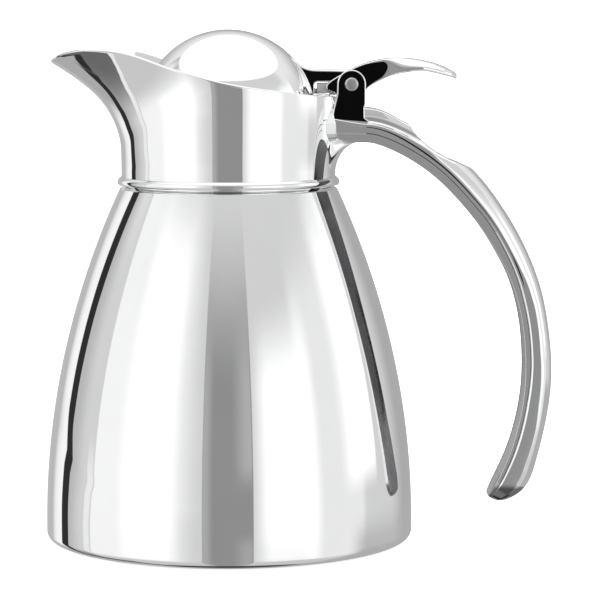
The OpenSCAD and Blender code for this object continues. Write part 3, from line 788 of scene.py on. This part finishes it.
for k in range(K1 + K2 + 1):
    row = []
    for i, e in enumerate(ring_end):
        f_c, f_s, ny, nz = reach[i]
        R = float(round_r(np.array(e[2]))) - 0.1
        xc = math.sqrt(R * R - e[1] * e[1])
        t = (e[0] - xc) / end_dir[0]
        c = e - t * end_dir
        yq, zq = c[1] + f_c * ny, min(max(c[2] + f_c * nz, 118.35), 141.2)
        Rq = float(round_r(np.array(zq))) - 0.1
        q = np.array([math.sqrt(Rq * Rq - yq * yq), yq, zq])
        p = c + end_dir * min(f_s, t - 0.2)
        if k <= K1:
            s = k / K1
            pull = 1 - 0.3 * min(1.0, max(0.0, (f_c - 0.7) / 9.9))
            at = ((1 - s) ** 2 * q + 2 * pull * s * (1 - s) * c + s * s * p) / \
                 ((1 - s) ** 2 + 2 * pull * s * (1 - s) + s * s)
        else:
            s = (k - K1) / K2
            at = p * (1 - s) + e * s
        h_ = ring[i][1]
        lift = 1.6 * float(smooth((h_ - 3) / 2.6)) * float(1 - smooth((h_ - 6.9) / 1.2))
        at[2] += lift * float(clamp01((e[0] - at[0]) / (e[0] - 34.0))) ** 1.25
        row.append(at)
    rows.append(row)
root_vis = loft("handle_foot", rows, [chrome], "carafe", sharp=38, weld=0)
# crescent flange that wraps the collar beside each ear and runs out under the handle
FLANGE = [(129.2, 34.15, 34.3), (130.3, 33.0, 35.1), (131.2, 32.4, 35.3), (132.6, 31.95, 34.95), (134.2, 31.85, 34.9),
          (136, 31.9, 34.75), (137.7, 32.45, 34.3), (139.3, 32.9, 34.0), (141.4, 33.8, 34.45), (143.4, 34.45, 34.85),
          (145.1, 35.2, 35.45)]
flanges = []
fz_ = [f[0] for f in FLANGE]
for side in (-1, 1):
    rings = []
    for z in np.linspace(145.1, 129.2, 80):
        xl = float(np.interp(z, fz_, [f[1] for f in FLANGE]))
        xr = float(np.interp(z, fz_, [f[2] for f in FLANGE]))
        R = float(round_r(np.array(z)))
        yl = math.sqrt(max(R * R - xl * xl, 0.0)) if xl < R else 0.0
        yl = max(yl + 0.25, 9.86)
        yr = max(yl - 0.78 * (xr - xl), 9.84)
        wide = xr - xl
        r_ = min(0.35, wide * 0.3)
        a_, b_ = np.array([xl, yl]), np.array([xr, yr])
        loop = [np.array([xl - 0.12, yl - 0.6]), np.array([xl - 0.03, yl - 0.12]), a_]
        loop += [a_ + (b_ - a_) * t for t in (0.06, 0.25, 0.5, 0.75)]
        e0, c0 = b_ + (a_ - b_) * r_ / max(np.linalg.norm(a_ - b_), 1e-6), b_
        e1 = b_ - np.array([0, r_])
        loop += [(1 - t) ** 2 * e0 + 2 * t * (1 - t) * c0 + t * t * e1 for t in np.linspace(0, 1, 6)]
        loop += [np.array([xr, min(9.7, yr - r_ - 0.05)]), np.array([min(xl, 33.5) - 0.6, 9.0])]
        rings.append([(q[0], side * q[1], z) for q in loop])
    flanges.append(loft("flange", rings, [chrome], "carafe", sharp=35))
root_vis = join("handle_foot", [root_vis] + flanges)
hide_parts("handle_root")

# ---- hinge bracket ----------------------------------------------------------
ear = [(46.4, 135.9), (44.15, 137.75), (44.1, 140.9), (44.5, 142.2)]
ear += arc(PIN_X, PIN_Z, 4.6, 0, 180, 46)
ear += [(35.2, 145.4), (34.75, 143.3), (34.1, 140.8), (33.75, 138.8), (33.75, 136.9)]
ear_line = refine(round_corners(ear, [0.6, 0.35, 0.5, 0.3] + [0] * 46 + [0.6, 0, 0, 0, 0.6], 5), 0.3)
ear_r = [0.38 if p[0] > 36 else 0.42 for p in ear_line]
near = plate("ear_near", ear_line, -8.2, -9.8, ear_r, [chrome_edge], "carafe")
far = plate("ear_far", ear_line, 8.2, 9.8, ear_r, [chrome_edge], "carafe")
base_line = refine(round_corners([(34.8, 141.25), (43.4, 141.25), (43.4, 142.25), (34.8, 142.25)], 0.3, 3), 0.3)
floor_plate = plate("ear_floor", base_line, -8.3, 8.3, 0.05, [chrome_edge], "carafe")
bracket_vis = join("hinge_ears", [near, far, floor_plate])
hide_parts("hinge_bracket")
# painted dark reflection: near-black sheets over the flat outer faces of the ears
for nm, y in (("ear_face_near", -9.8), ("ear_face_far", 9.8)):
    dark_reflection_sheet(nm, ear_line, ear_r, y, "carafe", painted_dark_reflection_shade)

# pin with a round head
ang = np.linspace(0, 2 * math.pi, 72, endpoint=False)
head = [(0.0, -10.62), (0.9, -10.62), (1.5, -10.6), (1.82, -10.52), (2.02, -10.36), (2.12, -10.15),
        (2.15, -9.84), (1.5, -9.83), (1.5, 10.55), (1.35, 10.7), (0.0, 10.7)]
verts = [(PIN_X + r * math.cos(a), y, PIN_Z + r * math.sin(a)) for r, y in head for a in ang]
pin_vis = build("pin_round_head", verts, grid_faces(len(head), 72, wrap_cols=True), [pin_end], "carafe",
                sharp=50, weld=0.0005)
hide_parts("hinge_pin")

# ---- spring: a coil round the pin, one leg down by the bracket and one out along the lid ----
path = [(37, -2.6, 142.6), (37, -2.6, 144), (37, -2.6, 146.5)]
for i in range(229):
    v = i / 228
    a = math.pi + 2 * math.pi * 4.75 * v
    path.append((PIN_X + 2.9 * math.cos(a), -2.6 + 5.2 * v, PIN_Z + 2.9 * math.sin(a)))
path += [(38.6, 2.6, 151.35), (37.2, 2.6, 151.15), (35.6, 2.6, 150.2), (34.2, 2.6, 149.35)]
path = np.array(path)
verts = []
for i in range(len(path)):
    d = path[min(i + 1, len(path) - 1)] - path[max(i - 1, 0)]
    d = d / np.linalg.norm(d)
    ref = np.array([1.0, 0, 0]) if abs(d[1]) > 0.9 else np.array([0, 1.0, 0])
    a = np.cross(d, ref)
    a /= np.linalg.norm(a)
    b = np.cross(d, a)
    for k in range(10):
        c = 2 * math.pi * k / 10
        verts.append(path[i] + 0.3 * (math.cos(c) * a + math.sin(c) * b))
faces = grid_faces(len(path), 10, wrap_cols=True)
faces += [tuple(range(10)), tuple(range((len(path) - 1) * 10, len(path) * 10))]
spring_vis = build("torsion_spring", verts, faces, [spring_m], None, sharp=40)
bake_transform(spring_vis)
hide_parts("hinge_spring")

# ---- lid dome ---------------------------------------------------------------
prof = [(28.1, 131.0), (28.25, 130.85), (28.55, 130.85), (28.7, 131.0), (28.7, 134.0)]
prof += [(28.7 * math.cos(a), 137.3 + 28.7 * math.sin(a)) for a in np.radians(np.linspace(0, 90, 91))]
prof += [(28.1 * math.cos(a), 137.3 + 28.1 * math.sin(a)) for a in np.radians(np.linspace(90, 0, 31))]
dome_vis = revolve("dome_cover", prof, [chrome], "lid", n=320)
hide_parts("lid_dome")

# ---- lid arm ----------------------------------------------------------------
top = [(18.6, 158.1), (20.7, 156.75), (23.3, 154.75), (25.5, 153.65), (28.1, 153.2), (33, 153.1), (37.9, 152.95)]
tx, tz = spline([p[0] for p in top]), spline([p[1] for p in top])
line = [(float(tx(v)), float(tz(v))) for v in np.linspace(0, 6, 57)]
line += arc(PIN_X, PIN_Z, 4.4, 98, -62, 34)
line += [(37.9, 145.2), (35.6, 145.2), (35.6, 149.1), (28.0, 149.1), (28.0, 145.2), (18.6, 145.2)]
rad = [0] * 57 + [0] * 34 + [0.5, 0.5, 0.5, 1.0, 0.5, 0.2]
arm_line = refine(round_corners(line, rad, 6), 0.3)
arm_r = np.array([0.72 if (p[1] > 151.5 and 19.5 < p[0] < 40.5) else 0.36 for p in arm_line])
for _ in range(8):
    arm_r = (np.roll(arm_r, 1) + arm_r + np.roll(arm_r, -1)) / 3
arm_near = plate("arm_near", arm_line, -4.4, -5.6, arm_r, [chrome_edge], "lid")
arm_far = plate("arm_far", arm_line, 4.4, 5.6, arm_r, [chrome_edge], "lid")
tops = [(float(tx(v)), float(tz(v))) for v in np.linspace(0, 6, 57)] + arc(PIN_X, PIN_Z, 4.4, 98, 20, 16)
rings = []
for x, z in tops:
    rings.append([(x, -4.9, z - 0.02), (x, -2.2, z + 0.02), (x, 0, z + 0.03), (x, 2.2, z + 0.02), (x, 4.9, z - 0.02),
                  (x, 4.9, z - 0.3), (x, 4.45, z - 0.9), (x, -4.45, z - 0.9), (x, -4.9, z - 0.3)])
arm_web = loft("arm_web", rings, [chrome_edge], "lid", sharp=40)
tongue_line = refine([(6, 145.4), (29, 145.4), (29, 146.8), (6, 146.8)], 0.8)
arm_tongue = plate("arm_tongue", tongue_line, -4.5, 4.5, 0.15, [satin], "lid")
# webs that sweep from the dome into the sides of the arm
webs = []
for side in (-1, 1):
    rings = []
    for z in np.linspace(145.25, 154.6, 30):
        v = (z - 145.25) / 9.35
        rho2 = 28.74 ** 2 - (z - 137.3) ** 2
        jx = math.sqrt(rho2 - 5.6 ** 2)
        ya = 5.6 + 0.9 + 6.6 * (1 - v) ** 1.1
        A = np.array([math.sqrt(rho2 - ya * ya), side * ya])
        J = np.array([jx, side * 5.62])
        B = np.array([jx + 0.35 + 0.35 * v, side * 5.64])
        loop = [(1 - t) ** 2 * A + 2 * t * (1 - t) * J + t * t * B for t in np.linspace(0, 1, 13)]
        loop += [np.array([jx + 0.1, side * 5.0]), np.array([jx - 0.6, side * 5.2])]
        rings.append([(a[0], a[1], z) for a in loop])
    webs.append(loft("web", rings, [chrome_edge], "lid", sharp=45))
arm_vis = join("lid_arm_channel", [arm_near, arm_far, arm_web, arm_tongue] + webs)
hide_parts("lid_arm")
# painted dark reflection: near-black sheets over the flat outer faces of the arm
for nm, y in (("arm_face_near", -5.6), ("arm_face_far", 5.6)):
    dark_reflection_sheet(nm, arm_line, arm_r, y, "lid", painted_dark_reflection_shade)

# block in the notch
blk = refine(round_corners([(28.75, 145.5), (35.2, 145.5), (35.2, 148.65), (28.75, 148.65)], 0.5, 6), 0.3)
b1 = plate("block_near", blk, 0, -5.75, 0.22, [block_m], "lid")
b2 = plate("block_far", blk, 0, 5.75, 0.22, [block_m], "lid")
block_vis = join("stop_block", [b1, b2])
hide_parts("hinge_block")

# ---- thumb lever ------------------------------------------------------------
LT = [(31.7, 147.8), (33.3, 149.5), (36.2, 151.3), (39.5, 153.1), (44.6, 155.2), (49.8, 156.4),
      (55.6, 156.85), (61.5, 156.4), (67.3, 155.1), (71.2, 153.5), (73.4, 152.3), (74.3, 151.2)]
LU = [(74.0, 149.9), (71.2, 150.9), (65.3, 152.3), (61.5, 152.6), (55.6, 151.8), (50.8, 150.3),
      (46, 147.8), (44.3, 146.2), (42.2, 144.7), (39.9, 144.1), (37.6, 144.7), (35.3, 145.3),
      (33.2, 146), (32, 146.5)]


def sampled(pts, n):
    fx, fz = spline([p[0] for p in pts]), spline([p[1] for p in pts])
    v = np.linspace(0, len(pts) - 1, n)
    return np.stack([fx(v), fz(v)], 1)


lt, lu = sampled(LT, 400), sampled(LU, 400)
top_z = lambda x: np.interp(x, lt[:, 0], lt[:, 1])
low_z = lambda x: np.interp(x, lu[::-1, 0], lu[::-1, 1])
PLAN = [(31, 7.5), (46, 7.5), (52, 7.9), (58, 8.5), (63, 8.6), (67, 7.7), (70, 6.3), (72.4, 4.0), (73.6, 2.4), (74.2, 1.4)]
plan_w = lambda x: float(np.interp(x, [p[0] for p in PLAN], [p[1] for p in PLAN]))
# two cheeks beside the arm
cheek = [tuple(p) for p in lt if p[0] < 45.4][::3] + [(45.4, float(top_z(45.4))), (45.4, float(low_z(45.4)))]
cheek += [tuple(p) for p in lu if p[0] < 45.4][::3]
cheek_line = refine(round_corners(cheek, 0.0), 0.3)
c1 = plate("cheek_near", cheek_line, -5.95, -7.5, 0.33, [chrome_edge], "lid")
c2 = plate("cheek_far", cheek_line, 5.95, 7.5, 0.33, [chrome_edge], "lid")
# curved lever behind them
xs = np.concatenate([np.linspace(44.9, 70, 130)[:-1], np.linspace(70, 74.15, 40)])
rings = []
for x in xs:
    T_, U_ = float(top_z(x)), float(low_z(x))
    w = plan_w(x) - (0.04 if x < 45.4 else 0.0)
    th = T_ - U_
    g_ = float(smooth((x - 50) / 6.5))
    rt = 0.4 + (th * 0.8 - 0.4) * g_
    rb = 0.35 + (th * 0.2 - 0.35) * g_
    ay = min(0.4 + 5.0 * float(smooth((x - 50) / 11)), w * 0.85)
    ab = min(0.35 + 1.2 * g_, w * 0.6)
    half = []
    for i in range(7):
        half.append(((w - ay) * i / 6, T_))
    for i in range(1, 17):
        a = math.radians(90 * i / 16)
        half.append((w - ay + ay * math.sin(a), T_ - rt + rt * math.cos(a)))
    for i in range(1, 6):
        half.append((w, T_ - rt + (U_ + rb - T_ + rt) * i / 6))
    for i in range(0, 13):
        a = math.radians(90 * i / 12)
        half.append((w - ab + ab * math.cos(a), U_ + rb - rb * math.sin(a)))
    for i in range(1, 6):
        half.append(((w - ab) * (1 - i / 6), U_))
    loop = [(-y, z) for y, z in half] + [(0.0, U_)] + [(y, z) for y, z in half[:0:-1]]
    rings.append([(x, y, z) for y, z in loop])
lever = loft("lever_body", rings, [chrome_edge], "lid", sharp=50)
lever_vis = join("thumb_lever_curved", [c1, c2, lever])
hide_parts("thumb_lever")
# near-black sheet on the lever's side, a painted dark reflection, that runs from the cheek into the lever and ends
# round
for nm, side in (("lever_face_near", -1), ("lever_face_far", 1)):
    rings = []
    for x in np.concatenate([np.linspace(32.15, 49.4, 60), 49.4 + 2.15 * np.sin(np.radians(np.linspace(4, 90, 18)))]):
        zu = float(top_z(x)) - float(np.interp(x, [44, 46.5, 50.2, 52], [0.33, 0.55, 0.8, 0.9]))
        zl = float(low_z(x)) + float(np.interp(x, [45, 48, 50, 52], [0.33, 0.6, 0.8, 1.0]))
        if x > 49.4:
            e = min(1.0, (x - 49.4) / 2.15)
            zm, hh = (zu + zl) / 2 + 0.35 * e, (zu - zl) / 2 * math.sqrt(max(0.0, 1 - e * e)) + 0.01
            zu, zl = zm + hh, zm - hh
        yo, yi = plan_w(x) + 0.03, plan_w(x) - 0.05
        zs = np.linspace(zl, zu, 7)
        rings.append([(x, side * yo, z) for z in zs] + [(x, side * yi, z) for z in zs[::-1]])
    sheet = loft(nm, rings, [painted_dark_reflection_shade], "lid", sharp=40)
    sheet.visible_glossy = False

# ---- floor and backdrop -----------------------------------------------------
paper, g, p, vec = surface("backdrop_paper", 0.9, 0.0)
fibre = noise(g, vec, 60, 4, 0.6)
g.link(two_tone(g, fibre, (0.90, 0.90, 0.90), (0.93, 0.93, 0.93)), p.inputs["Base Color"])
p.inputs["Emission Color"].default_value = (1, 1, 1, 1)
p.inputs["Emission Strength"].default_value = 0.62
prof = [(0.0, -0.4), (400, -0.4), (1200, -0.4), (2300, -0.4)] + \
       [(2300 + 700 * math.sin(a), 699.6 - 700 * math.cos(a)) for a in np.radians(np.linspace(8, 90, 12))] + [(3000, 1500)]
ang = np.linspace(0, 2 * math.pi, 96, endpoint=False)
verts = [(r * math.cos(a), r * math.sin(a), z) for r, z in prof for a in ang]
bowl = build("floor_and_backdrop", verts, grid_faces(len(prof), 96, wrap_cols=True), [paper], None, sharp=0, weld=0.001)
bowl.visible_glossy = False

# ---- studio light: soft boxes and cards around the object, far away ----------
world = bpy.data.worlds.new("studio")
scene.world = world
world.use_nodes = True
g = Nodes(world.node_tree)
out = g.new("ShaderNodeOutputWorld")
bg = g.new("ShaderNodeBackground")
g.link(bg.outputs[0], out.inputs[0])
tc = g.new("ShaderNodeTexCoord")
sep = g.new("ShaderNodeSeparateXYZ")
g.link(tc.outputs["Generated"], sep.inputs[0])
X, Y, Z = sep.outputs
az = g.math("MULTIPLY", g.math("ARCTAN2", X, g.math("MULTIPLY", Y, -1.0)), 180 / math.pi)
el = g.math("MULTIPLY", g.math("ARCSINE", Z), 180 / math.pi)


def level(v):
    """Brightness of a card that a polished surface shows as grey v of 255."""
    if v >= 254:
        return 1.16
    c = v / 255
    return (c / 12.92 if c <= 0.04045 else ((c + 0.055) / 1.055) ** 2.4) / 0.935


def card(prev, v, a0, a1, fa=2.0, fb=2.0, e0=-90.0, e1=90.0, fe0=0.5, fe1=0.5, base=None):
    """Card between azimuths a0 and a1 (0 is the camera's side, 90 the right) and elevations e0
    and e1. fa, fb, fe0 and fe1 are the widths over which its edges fade outwards."""
    c = (a0 + a1) / 2
    hw = (a1 - a0) / 2
    rel = g.math("SUBTRACT", az if base is None else base, c)
    rel = g.math("WRAP", rel, 180.0, -180.0)
    mask = g.math("MULTIPLY", g.ramp(rel, -hw - fa, -hw), g.ramp(rel, hw, hw + fb, 1.0, 0.0))
    if e0 > -90:
        mask = g.math("MULTIPLY", mask, g.ramp(el, e0 - fe0, e0))
    if e1 < 90:
        mask = g.math("MULTIPLY", mask, g.ramp(el, e1, e1 + fe1, 1.0, 0.0))
    mix = g.new("ShaderNodeMix", data_type="FLOAT")
    g.link(mask, mix.inputs[0])
    g.link(prev, mix.inputs[2])
    mix.inputs[3].default_value = level(v)
    return mix.outputs[0]


def drift(stops):
    """Azimuth that depends on elevation, straight between (elevation, azimuth) stops."""
    r = g.new("ShaderNodeValToRGB")
    r.color_ramp.interpolation = "LINEAR"
    cr = r.color_ramp.elements
    while len(cr) < len(stops):
        cr.new(0.5)
    for e_, (a, b) in zip(cr, sorted(stops)):
        e_.position = (a + 90) / 180
        c = (b + 140) / 160
        e_.color = (c, c, c, 1)
    g.link(g.math("DIVIDE", g.math("ADD", el, 90.0), 180.0), r.inputs[0])
    return g.math("SUBTRACT", g.math("MULTIPLY", r.outputs[0], 160.0), 140.0)


strip_az = drift([(-60, -108), (-48.7, -116.5), (-45.6, -122.7), (-42.8, -127.3), (-39.2, -129.2), (-35.6, -127.6),
                  (-28.5, -125.3), (-19.9, -122.4), (-14.5, -123), (-11, -124), (-8, -123.8), (-4.8, -122.6),
                  (-3.6, -120.2), (-2.2, -122.2), (-1, -124.1), (2.8, -124.2), (9.5, -123.3), (15.9, -121.2),
                  (21.3, -119.2), (40, -112)])
line_sh = drift([(-60, 19), (-48.1, 17.5), (-46.8, 13.3), (-45.2, 8.3), (-41.5, 3.5), (-36.1, 0.6), (-28.7, 0.4),
                 (-18.5, -0.7), (-9.5, -3.2), (-5.3, -1.4), (-4, 1.2), (-3, 0)])
wall = g.math("SUBTRACT", az, strip_az)
low = g.math("SUBTRACT", az, line_sh)

val = g.new("ShaderNodeValue")
val.outputs[0].default_value = level(207)
v = val.outputs[0]
v = card(v, 197, -179.9, 179.9, 0.1, 0.1, e1=-18, fe1=7)
# behind, right of the object
v = card(v, 168, 146, 172, 24, 8)
# behind, left: bright edge, then a grey gap
v = card(v, 182, -162, -147, 6, 8)
v = card(v, 160, 173, 186.5, 3, 1)
v = card(v, 168, 176, 186, 10, 16, e0=6, fe0=4)
v = card(v, 230, 104, 256, 16, 16, e0=41, fe0=28)
# left: grey wall beside the black strip
v = card(v, 182, -134, -117, 0.5, 16, base=low)
v = card(v, 102, -140, -99.5, 0.5, 1.5, e1=-50, fe1=38, base=low)
v = card(v, 243, -10, -5, 14, 0.5, e1=30, fe1=18, base=wall)
v = card(v, 168, -28, -3, 6, 1, e1=-28, fe1=16, base=wall)
v = card(v, 232, -98.5, -94.5, 1.5, 1.5, e1=-4, fe1=6, base=low)
# big soft box on the left
v = card(v, 243, -92, -36, 1.0, 22, e0=-8, e1=32, fe0=26, fe1=22, base=low)
v = card(v, 255, -62, -40, 14, 12, e0=-6, e1=26, fe0=14, fe1=16)
# soft box on the right and the wall beyond it
v = card(v, 231, 54, 92, 8, 6, e0=-10, e1=20, fe0=20, fe1=16)
v = card(v, 255, 29, 54, 15, 10, e0=-6, e1=13, fe0=16, fe1=16)
v = card(v, 255, 89, 107, 14, 2, e0=-1, e1=20, fe0=4.5, fe1=16)
v = card(v, 172, 96, 172, 16, 6, e1=-13, fe1=6)
# grey card in front, with the camera behind it
v = card(v, 141, -15, 16, 0.6, 0.6, e0=-90, e1=14, fe1=34)
v = card(v, 168, -15, -14, 0.1, 6, e0=-90, e1=14, fe1=20)
v = card(v, 163, 14, 15.4, 12, 0.6, e0=-90, e1=-11, fe1=3.4)
v = card(v, 172, 14, 15.4, 12, 0.6, e0=4, e1=14, fe0=6, fe1=20)
# narrow black strip
v = card(v, 46, -4.1, 4.1, 0.6, 0.6, e0=-41, fe0=3, e1=23, fe1=2, base=wall)
v = card(v, 46, -2.2, 2.2, 0.6, 0.6, e1=-44, fe1=3, base=wall)
# dark floor
v = card(v, 70, -179.9, 179.9, 0.1, 0.1, e1=-72, fe1=8)
# white ceiling
tilt = g.math("SUBTRACT", el, g.math("MULTIPLY", g.math("COSINE", g.math("MULTIPLY", az, math.pi / 180)), 5.0))
ceil = g.ramp(tilt, 44.6, 46.2)
mix = g.new("ShaderNodeMix", data_type="FLOAT")
g.link(ceil, mix.inputs[0])
g.link(v, mix.inputs[2])
mix.inputs[3].default_value = 1.16
v = mix.outputs[0]
g.link(v, bg.inputs["Color"])
bg.inputs["Strength"].default_value = 1.0

scene.view_settings.view_transform = "Standard"
scene.view_settings.look = "None"
